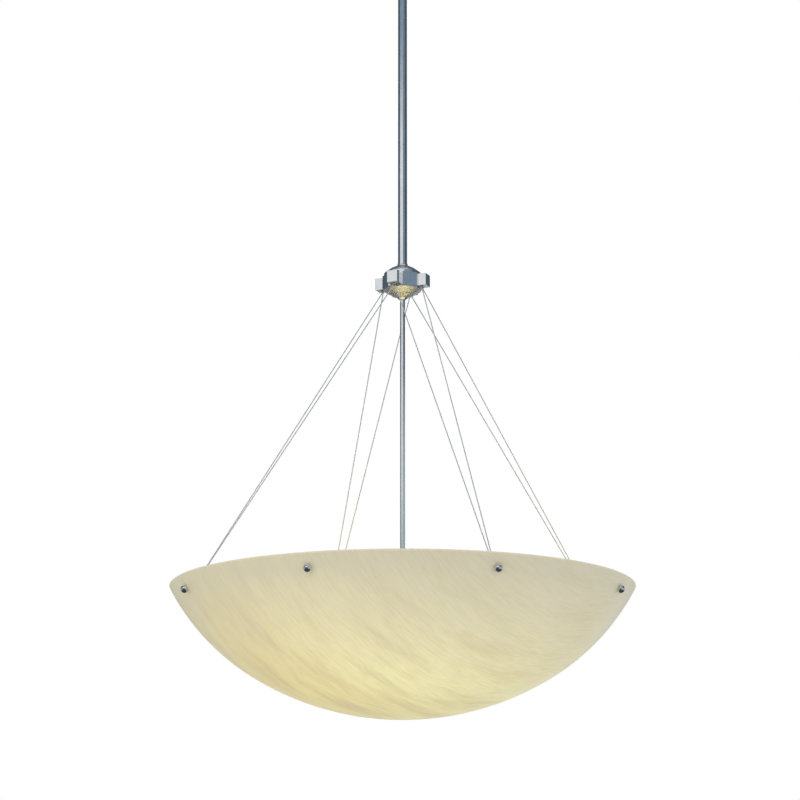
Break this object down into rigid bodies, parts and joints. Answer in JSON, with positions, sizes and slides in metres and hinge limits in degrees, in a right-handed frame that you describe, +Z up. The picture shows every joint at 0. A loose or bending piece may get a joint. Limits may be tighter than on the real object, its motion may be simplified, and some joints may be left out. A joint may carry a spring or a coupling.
{
  "type": "bowl pendant light",
  "caption": "Wide shallow bowl pendant of veined translucent cream material, hung on wire ropes from an octagonal metal hub and a stem that swivels at its ceiling canopy.",
  "frame": {"origin": "on the ceiling plane, at the middle of the crossbar and the axis of the stem", "axes": "+Z up, along the stem; the part hangs below Z = 0. +X along the crossbar, to the right in the picture. -Y towards the viewer."},
  "size_m": [1.228, 1.228, 2.1143],
  "materials": {
    "satin_nickel": "satin nickel plate over turned and drawn metal",
    "polished_nickel": "polished nickel plate",
    "steel_rope": "bare stranded stainless wire rope",
    "zinc_plated_steel": "zinc plated",
    "painted_ring_steel": "satin off-white powder coat",
    "green_ground_screw": "green passivated",
    "alabaster_acrylic": "satin cast acrylic with soft alabaster veins",
    "rubber_bush": "moulded",
    "nylon_washer": "natural nylon",
    "porcelain": "glazed",
    "frosted_glass": "inside frosted, on a brass screw base"
  },
  "bodies": {
    "ceiling_mount": {"crossbar": "zinc_plated_steel", "swivel_nipple": "zinc_plated_steel", "swivel_lock_nut": "zinc_plated_steel", "stop_pin": "zinc_plated_steel", "canopy": "satin_nickel", "canopy_studs": "zinc_plated_steel", "canopy_nuts": "polished_nickel", "ground_screw": "green_ground_screw"},
    "swivel": {"swivel_yoke": "satin_nickel", "trunnion_screws": "zinc_plated_steel"},
    "pendant": {"stem_head": "satin_nickel", "upper_stem": "satin_nickel", "hub_top": "satin_nickel", "hub_body": "satin_nickel", "hub_base": "satin_nickel", "nose_nut": "satin_nickel", "hub_nipple": "zinc_plated_steel", "hub_lock_nut": "zinc_plated_steel", "cable_block_1": "satin_nickel", "cable_block_2": "satin_nickel", "cable_block_3": "satin_nickel", "cable_block_4": "satin_nickel", "block_screws": "zinc_plated_steel", "cable_glands": "satin_nickel", "upper_cable_stops": "zinc_plated_steel", "cable_1": "steel_rope", "cable_2": "steel_rope", "cable_3": "steel_rope", "cable_4": "steel_rope", "cable_5": "steel_rope", "cable_6": "steel_rope", "cable_7": "steel_rope", "cable_8": "steel_rope", "lower_cable_stops": "zinc_plated_steel", "cable_lugs": "painted_ring_steel", "rim_ring": "painted_ring_steel", "rim_screws": "zinc_plated_steel", "ring_spacers": "zinc_plated_steel", "wall_bushes": "rubber_bush", "nut_washers": "nylon_washer", "ball_nuts": "polished_nickel", "bowl": "alabaster_acrylic", "lower_stem": "satin_nickel", "cluster_cap": "satin_nickel", "cluster_pan": "satin_nickel", "cluster_lock_nut": "zinc_plated_steel", "cluster_cover": "satin_nickel", "cover_stud": "zinc_plated_steel", "finial_nut": "satin_nickel", "lamp_arms": "satin_nickel", "lamp_arm_nuts": "zinc_plated_steel", "lamp_sockets": "porcelain"},
    "lamp_body_1": {"lamp_1": "frosted_glass"},
    "lamp_body_2": {"lamp_2": "frosted_glass"},
    "lamp_body_3": {"lamp_3": "frosted_glass"},
    "lamp_body_4": {"lamp_4": "frosted_glass"},
    "lamp_body_5": {"lamp_5": "frosted_glass"},
    "lamp_body_6": {"lamp_6": "frosted_glass"}
  },
  "joints": [
    {"name": "swivel_turn", "type": "hinge", "parent": "ceiling_mount", "child": "swivel", "pos_m": [0, 0, -0.03], "axis": [0, 0, 1], "range_deg": [-168, 168]},
    {"name": "swivel_tilt", "type": "hinge", "parent": "swivel", "child": "pendant", "pos_m": [0, 0, -0.03], "axis": [0, 1, 0], "range_deg": [-20, 20]},
    {"name": "lamp_1_unscrew", "type": "slide", "parent": "pendant", "child": "lamp_body_1", "axis": [0, -0.9063, 0.4226], "range_m": [0, 0.027]},
    {"name": "lamp_2_unscrew", "type": "slide", "parent": "pendant", "child": "lamp_body_2", "axis": [0.7849, -0.4532, 0.4226], "range_m": [0, 0.027]},
    {"name": "lamp_3_unscrew", "type": "slide", "parent": "pendant", "child": "lamp_body_3", "axis": [0.7849, 0.4532, 0.4226], "range_m": [0, 0.027]},
    {"name": "lamp_4_unscrew", "type": "slide", "parent": "pendant", "child": "lamp_body_4", "axis": [0, 0.9063, 0.4226], "range_m": [0, 0.027]},
    {"name": "lamp_5_unscrew", "type": "slide", "parent": "pendant", "child": "lamp_body_5", "axis": [-0.7849, 0.4532, 0.4226], "range_m": [0, 0.027]},
    {"name": "lamp_6_unscrew", "type": "slide", "parent": "pendant", "child": "lamp_body_6", "axis": [-0.7849, -0.4532, 0.4226], "range_m": [0, 0.027]}
  ]
}
